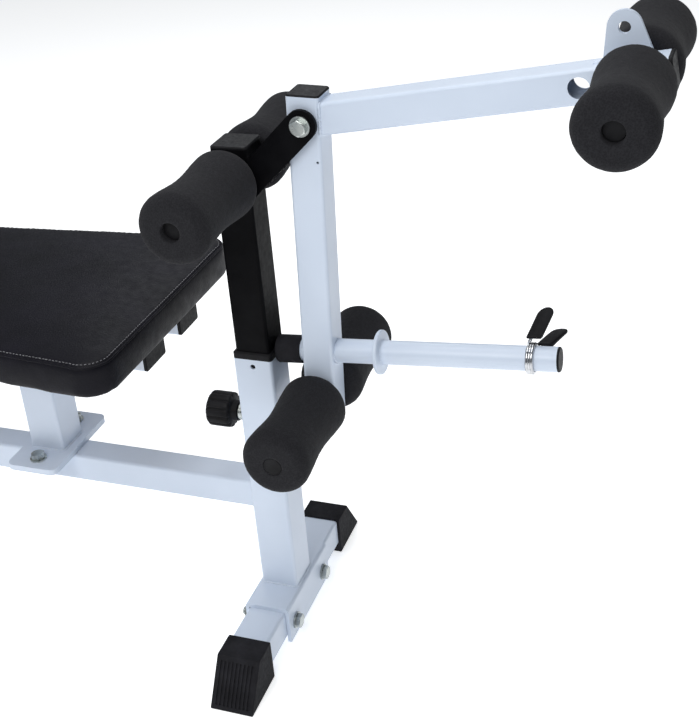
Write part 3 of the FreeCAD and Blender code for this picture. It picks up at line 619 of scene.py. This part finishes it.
def sew(name, piece, body, corners, corner, inset, top):
    """A welt along the pad's edge and one row of stitches beside it."""
    surface = BVHTree.FromPolygons(
        [v.co for v in piece.data.vertices], [p.vertices for p in piece.data.polygons]
    )

    def on_surface(loop, lift):
        points = []
        for p in loop:
            hit, normal, _, _ = surface.ray_cast(Vector((p.x, p.y, top + 0.05)), Vector((0, 0, -1)))
            points.append(hit + normal * lift)
        return points

    welt = Shape()
    path = on_surface(outline(corners, inset - 1.6 * MM, corner, 18, 90), 0.1 * MM)
    welt.sweep(path, lambda run: (1.35 + 0.12 * math.sin(run / (2.1 * MM))) * MM, 8, looped=True)
    welt.object(name + "_welt", "leatherette", body)

    stitches = Shape()
    pitch, length, thick = 4.6 * MM, 3.2 * MM, 0.42 * MM
    dip = Vector((0, 0, 0.35 * MM))
    loop = on_surface(outline(corners, inset + 2.2 * MM, corner, 60, 900), 0.15 * MM)
    run, stitch = 0.0, []
    for i, point in enumerate(loop):
        if run % pitch < length:
            stitch.append(point)
        else:
            if len(stitch) > 1:
                stitch[0] = stitch[0] - dip
                stitch[-1] = stitch[-1] - dip
                stitches.sweep(stitch, thick, 6)
            stitch = []
        run += (loop[(i + 1) % len(loop)] - point).length
    # The stitches take the thread material whose grey colour is painted highlight.
    stitches.object(name + "_stitches", "leatherette", body, material=HIGHLIT_THREAD)


# ---------------------------------------------------------------- foam rollers


def foam_profile():
    """Section of a sleeve along its length: a waist between two round-edged ends."""
    points = [(FOAM_BORE, 0.4 * MM), (FOAM_BORE + 0.9 * MM, 0.0)]
    face_steps, edge_steps, side_steps = 5, 9, 26
    for i in range(1, face_steps + 1):
        points.append((FOAM_BORE + (FOAM_FACE - FOAM_BORE) * i / face_steps, 0.0))
    for out, along in arc((0, 0), 1.0, -math.pi / 2, 0, edge_steps)[1:]:
        points.append((FOAM_FACE + out * (FOAM_END - FOAM_FACE), FOAM_ROUNDING + along * FOAM_ROUNDING))
    half = FOAM_LENGTH / 2
    for i in range(1, side_steps + 1):
        t = i / side_steps
        swelling = (FOAM_END - FOAM_WAIST) * (1 - math.sin(t * math.pi / 2) ** 1.6)
        points.append((FOAM_WAIST + swelling, FOAM_ROUNDING + (half - FOAM_ROUNDING) * t))
    mirrored = [(r, FOAM_LENGTH - y) for r, y in points[:-1]]
    return points + mirrored[::-1]


def make_foams(roller, body):
    """A roller's two sleeves, each slightly uneven outside its bore, as cut foam is."""
    outside = 20 * MM
    node = roller + "_foams"
    low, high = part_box(node)
    centre = (low + high) / 2
    for side, word in ((-1, "near"), (1, "far")):
        shape = Shape()
        shape.lathe(foam_profile(), 112, looped=True)
        start = side * (high.y - FOAM_LENGTH)
        place = facing((0, side, 0), (centre.x, start, centre.z))
        piece = shape.object(f"{roller}_foam_{word}", "foam", body, place)
        for vertex in piece.data.vertices:
            out = Vector((vertex.co.x - centre.x, 0, vertex.co.z - centre.z))
            if out.length > outside:
                rough = 0.45 * noise.noise(vertex.co * 28) + 0.22 * noise.noise(vertex.co * 160)
                vertex.co += out.normalized() * (rough * MM)
        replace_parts(piece, node)


# ---------------------------------------------------------------- spring clip and knobs


def leg_start(side):
    """Where a leg leaves the coil: its place along the post and its angle round it."""
    at = CLIP_AT if side < 0 else CLIP_AT + CLIP_RUN
    return at, math.radians(CLIP_TURN + side * CLIP_SPREAD)


def clip_leg(side, root=0.0):
    """Points of one leg, from a height above the coil's centre line, in the post's frame."""
    at, a = leg_start(side)
    lean = math.tan(math.radians(CLIP_LEAN))
    height, steps = 23 * MM, 8
    points = []
    for i in range(steps + 1):
        up = root + i / steps * (height - root)
        radius = CLIP_COIL + up
        points.append(Vector((at + lean * up, radius * math.sin(a), radius * math.cos(a))))
    return points


def clip_coil():
    """Points of the coil, three turns and the gap between the legs, in the post's frame."""
    spread = math.radians(CLIP_SPREAD)
    start = math.radians(CLIP_TURN) - spread
    turn = 3 * TURN + 2 * spread
    steps = 160
    points = []
    for i in range(steps + 1):
        a = start + turn * i / steps
        x = CLIP_AT + CLIP_RUN * i / steps
        points.append(Vector((x, CLIP_COIL * math.sin(a), CLIP_COIL * math.cos(a))))
    return points


def clip_paddle(side):
    """Rings of one moulded grip: flat, dished, with a round end that curls outwards."""
    at, a = leg_start(side)
    lean = math.tan(math.radians(CLIP_LEAN))
    radial = Vector((0, math.sin(a), math.cos(a)))
    out = Vector((0, math.cos(a), -math.sin(a))) * side
    start, length, half_width = 5.5 * MM, 35.6 * MM, 9 * MM
    steps, around = 30, 28
    rings = []
    for i in range(steps + 1):
        run = length * (1 - (1 - i / steps) ** 1.5)
        tail = max(0.0, run - (length - half_width)) / half_width
        narrow = math.sqrt(max(0.0, 1 - tail ** 2)) * 0.999 + 0.001
        base = 1.0 if run > 2 * MM else 0.86 + 0.07 * run / MM
        half = half_width * narrow * base
        thick = (3.5 - 1.5 * run / length) * MM * (0.25 + 0.75 * narrow)
        curl = 2.5 * MM * (run / length) ** 2.4
        up = start + run
        centre = radial * (CLIP_COIL + up) + out * curl + Vector((at + lean * up + 3 * MM, 0, 0))
        ring = []
        for j in range(around):
            t = TURN * j / around
            c, s = math.cos(t), math.sin(t)
            across = half * math.copysign(abs(c) ** 0.45, c)
            deep = thick * math.copysign(abs(s) ** 0.6, s)
            dish = 1.1 * MM * (1 - min(1, abs(across) / (0.8 * half + 1e-6)) ** 2) * narrow
            deep -= dish if s > 0 else 0.0
            ring.append(centre + Vector((across, 0, 0)) + out * deep)
        rings.append(ring)
    return rings


def make_clip():
    """The clip: a wound wire with one leg, the other leg on its own body, and two grips."""
    near = clip_leg(-1)[::-1]
    coil = clip_coil()
    spring = Shape()
    spring.sweep(near[:-1] + coil[1:], WIRE, 12)
    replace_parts(spring.object("clip_wire", "chrome_steel", "clip", WEIGHT), "clip_spring")
    arm = Shape()
    arm.sweep(clip_leg(1, WIRE + 1 * MM), WIRE, 12)
    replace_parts(arm.object("clip_wire_arm", "chrome_steel", "clip_arm", WEIGHT), "clip_arm")
    for side, node, body in ((-1, "clip_grip", "clip"), (1, "clip_arm_grip", "clip_arm")):
        grip = Shape()
        grip.rings(clip_paddle(side))
        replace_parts(grip.object(node + "_paddle", "black_plastic", body, WEIGHT), node)


def flute(angle, radius):
    """Scale of a knob's radius at an angle: wide flat lobes between narrow grooves."""
    lobes, plain, fade = 12, 17 * MM, 4 * MM
    if radius < plain:
        return 1.0
    depth = 0.10 * min(1.0, (radius - plain) / fade)
    return 1 - depth * (0.5 + 0.5 * math.cos(lobes * angle)) ** 5


def make_knob(node, direction):
    """Fluted hand knob on a neck, with a domed end."""
    low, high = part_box(node)
    centre = (low + high) / 2
    direction = Vector(direction)
    length = abs((high - low).dot(direction))
    base = centre - direction * length / 2
    neck = 8 * MM
    dome = 6 * MM
    profile = [(10.5 * MM, 0), (12.6 * MM, 0), (13 * MM, 0.5 * MM), (13 * MM, neck - 1 * MM)]
    profile += [(14 * MM, neck), (20 * MM, neck + 0.3 * MM)]
    profile += [(21.6 * MM, neck + 1 * MM), (22.3 * MM, neck + 2.5 * MM)]
    for i in range(1, 7):
        profile.append((22.5 * MM, neck + 2.5 * MM + (length - neck - 2.5 * MM - dome) * i / 6))
    flat = 9 * MM
    for i in range(1, 10):
        t = i / 9 * math.pi / 2
        profile.append((flat + (22.5 * MM - flat) * math.cos(t), length - dome * (1 - math.sin(t))))
    profile += [(5 * MM, length), (2 * MM, length)]
    shape = Shape()
    shape.lathe(profile, 192, wave=flute)
    body = nodes[node]["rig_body"]
    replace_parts(shape.object(node + "_fluted", "black_plastic", body, facing(direction, base)), node)


# ---------------------------------------------------------------- weld beads and threads


def ripple(size):
    """Radius of a weld bead along its run."""
    return lambda run: size * (1 + 0.16 * math.sin(run / (0.75 * MM)) + 0.07 * math.sin(run / (4.1 * MM)))


def square_loop(side, radius=4 * MM, steps=5, spacing=1.0 * MM):
    """Closed loop round a square tube, as (u, v) points about its centre."""
    half = side / 2
    corners = [(-half, -half), (half, -half), (half, half), (-half, half)]
    count = max(4, int((side - 2 * radius) / spacing))
    return outline(corners, 0.0, radius, steps, count)


def ring_loop(radius, spacing=1.0 * MM):
    """Closed round loop of (u, v) points."""
    count = int(TURN * radius / spacing)
    return [Vector((radius * math.cos(TURN * i / count), radius * math.sin(TURN * i / count)))
            for i in range(count)]


def straight(start, stop, spacing=1.0 * MM):
    """Evenly spaced points between two places."""
    start, stop = Vector(start), Vector(stop)
    count = max(2, int((stop - start).length / spacing))
    return [start.lerp(stop, i / count) for i in range(count + 1)]


def make_weld(name, paths, body, slot="white_steel", size=1.9 * MM, place=None):
    """Weld beads in one piece. paths is a list of (points, looped)."""
    shape = Shape()
    for points, looped in paths:
        shape.sweep(points, ripple(size), 8, looped)
    shape.object(name, slot, body, place)


def on_z(loop, x, y, z):
    return [Vector((x + p.x, y + p.y, z)) for p in loop]


def on_x(loop, x, y, z):
    return [Vector((x, y + p.x, z + p.y)) for p in loop]


def weld_frame():
    """Beads at the feet of the posts, both ends of the seat post and both ends of the beam."""
    post_low, post_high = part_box("front_post")
    rear_low, rear_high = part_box("rear_post")
    seat_low, seat_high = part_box("seat_post")
    beam_low, beam_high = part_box("main_beam")
    front_x = (post_low.x + post_high.x) / 2
    rear_x = (rear_low.x + rear_high.x) / 2
    seat_x = (seat_low.x + seat_high.x) / 2
    beam_z = (beam_low.z + beam_high.z) / 2
    post, beam = square_loop(POST_SIDE), square_loop(BEAM_SIDE)
    make_weld("front_post_weld", [(on_z(post, front_x, 0, post_low.z), True)], "frame")
    make_weld("rear_post_weld", [(on_z(post, rear_x, 0, rear_low.z), True)], "frame")
    seat_paths = [(on_z(post, seat_x, 0, z), True) for z in (seat_low.z, seat_high.z)]
    make_weld("seat_post_welds", seat_paths, "frame", size=1.6 * MM)
    beam_paths = [(on_x(beam, x, 0, beam_z), True) for x in (beam_low.x, beam_high.x)]
    make_weld("beam_welds", beam_paths, "frame", size=1.7 * MM)


def weld_lever():
    """Beads of the leg developer: arm, its tab, stop disc and weight post."""
    arm_loop = on_x(square_loop(ARM_SIDE), LEVER_SIDE / 2, 0, ARM_ROOT)
    make_weld("arm_weld", [(arm_loop, True)], "lever", size=1.7 * MM, place=LEVER)
    top = ARM_SIDE / 2
    tab = []
    for side in (-1, 1):
        y = side * 2.7 * MM
        tab.append((straight((290 * MM, y, top), (356 * MM, y, top)), False))
    make_weld("tab_weld", tab, "lever", size=1.4 * MM, place=ARM)
    ring = ring_loop(WEIGHT_RADIUS)
    rings = [(on_x(ring, x, 0, 0), True) for x in (DISC_NEAR, DISC_FAR)]
    make_weld("stop_disc_welds", rings, "lever", size=1.1 * MM, place=WEIGHT)
    slope = math.tan(math.radians(WEIGHT_RISE))
    sides = []
    for face in (-LEVER_SIDE / 2, LEVER_SIDE / 2):
        points = [Vector((face + p.y * -slope, p.x, p.y)) for p in ring]
        sides.append((points, True))
    make_weld("weight_post_weld", sides, "lever", size=1.5 * MM, place=WEIGHT)


def weld_backrest():
    """Beads of the hinge plates on the beam, and of the cross plate and its quadrant."""
    plate_low, plate_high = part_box("hinge_plates")
    front, rear, top = plate_high.x - 8 * MM, plate_low.x + 14 * MM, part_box("main_beam")[1].z
    lines = []
    for side in (-1, 1):
        y = side * (BEAM_SIDE / 2 + 0.4 * MM)
        lines.append((straight((rear, y, top), (front, y, top)), False))
    make_weld("hinge_plate_welds", lines, "frame", size=1.8 * MM)
    cross_low, cross_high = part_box("backrest_cross_plate")
    lines = []
    for x in (cross_low.x, cross_high.x):
        for side in (-1, 1):
            start = (x, side * 28 * MM, cross_high.z)
            stop = (x, side * 64 * MM, cross_high.z)
            lines.append((straight(start, stop), False))
    make_weld("cross_plate_welds", lines, "backrest", size=1.5 * MM)
    lines = []
    for side in (-1, 1):
        y = side * 3.2 * MM
        start, stop = (cross_low.x + 4 * MM, y, cross_low.z), (cross_high.x - 4 * MM, y, cross_low.z)
        lines.append((straight(start, stop), False))
    make_weld("quadrant_welds", lines, "backrest", "black_steel", 1.5 * MM)


def weld_boss():
    """Bead round the clamp boss where it meets the front post."""
    boss_low, boss_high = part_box("front_clamp_boss")
    loop = on_x(ring_loop((boss_high.y - boss_low.y) / 2), boss_high.x, 0, (boss_low.z + boss_high.z) / 2)
    make_weld("clamp_boss_weld", [(loop, True)], "frame", size=1.2 * MM)


def make_thread(name, body, ends, radius, pitch=1.5 * MM):
    """Screw thread on exposed bolt ends. ends is a list of (start, stop) places."""
    shape = Shape()
    for start, stop in ends:
        start, stop = Vector(start), Vector(stop)
        length = (stop - start).length
        place = facing(stop - start, start)
        turns = length / pitch
        steps = max(8, int(turns * 22))
        path = []
        for i in range(steps + 1):
            a = TURN * turns * i / steps
            path.append(place @ Vector((radius * math.cos(a), radius * math.sin(a), length * i / steps)))
        shape.sweep(path, RIDGE, 6)
    shape.object(name, "zinc_steel", body)


def make_threads():
    """Threads on the bolt ends that stand out of their nuts."""
    saddle_y, saddle_z, seat_y = 50 * MM, 27 * MM, 48 * MM
    reach, stick = 44.2 * MM, 4 * MM
    post_low, post_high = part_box("front_post")
    front_end = (post_low.x + post_high.x) / 2 - reach
    post_low, post_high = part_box("rear_post")
    rear_end = (post_low.x + post_high.x) / 2 + reach
    pairs = []
    for y in (-saddle_y, saddle_y):
        pairs.append(((front_end + stick, y, saddle_z), (front_end, y, saddle_z)))
        pairs.append(((rear_end - stick, y, saddle_z), (rear_end, y, saddle_z)))
    make_thread("saddle_bolt_threads", "frame", pairs, BOLT_10)
    low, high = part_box("seat_post_bolts")
    middle_x = (low.x + high.x) / 2
    pairs = []
    for y in (-seat_y, seat_y):
        pairs.append(((middle_x, y, low.z + stick), (middle_x, y, low.z)))
    make_thread("seat_post_bolt_threads", "frame", pairs, BOLT_10)
    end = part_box("pivot_bolt")[1].y
    make_thread("pivot_bolt_thread", "inner_post",
                [((pivot.x, end - 3 * MM, pivot.z), (pivot.x, end, pivot.z))], BOLT_10)
    low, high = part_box("backrest_hinge_bolt")
    hinge = joint_place("backrest_tilt")
    make_thread("hinge_bolt_thread", "backrest",
                [((hinge.x, high.y - 2 * MM, hinge.z), (hinge.x, high.y, hinge.z))], BOLT_12)


# ---------------------------------------------------------------- build

make_camera()
make_stage()
paint_nodes()
make_pad("seat_cushion", "seat_pad", "frame", SEAT_REAR, SEAT_CORNER)
make_pad("backrest_cushion", "backrest_pad", "backrest", BACK_REAR, BACK_CORNER)
for roller in ("knee_roller", "lower_roller", "arm_roller"):
    make_foams(roller, roller)
make_clip()
make_knob("front_clamp_knob", (-1, 0, 0))
make_knob("rear_clamp_knob", (0, -1, 0))
weld_frame()
weld_lever()
weld_backrest()
weld_boss()
make_threads()
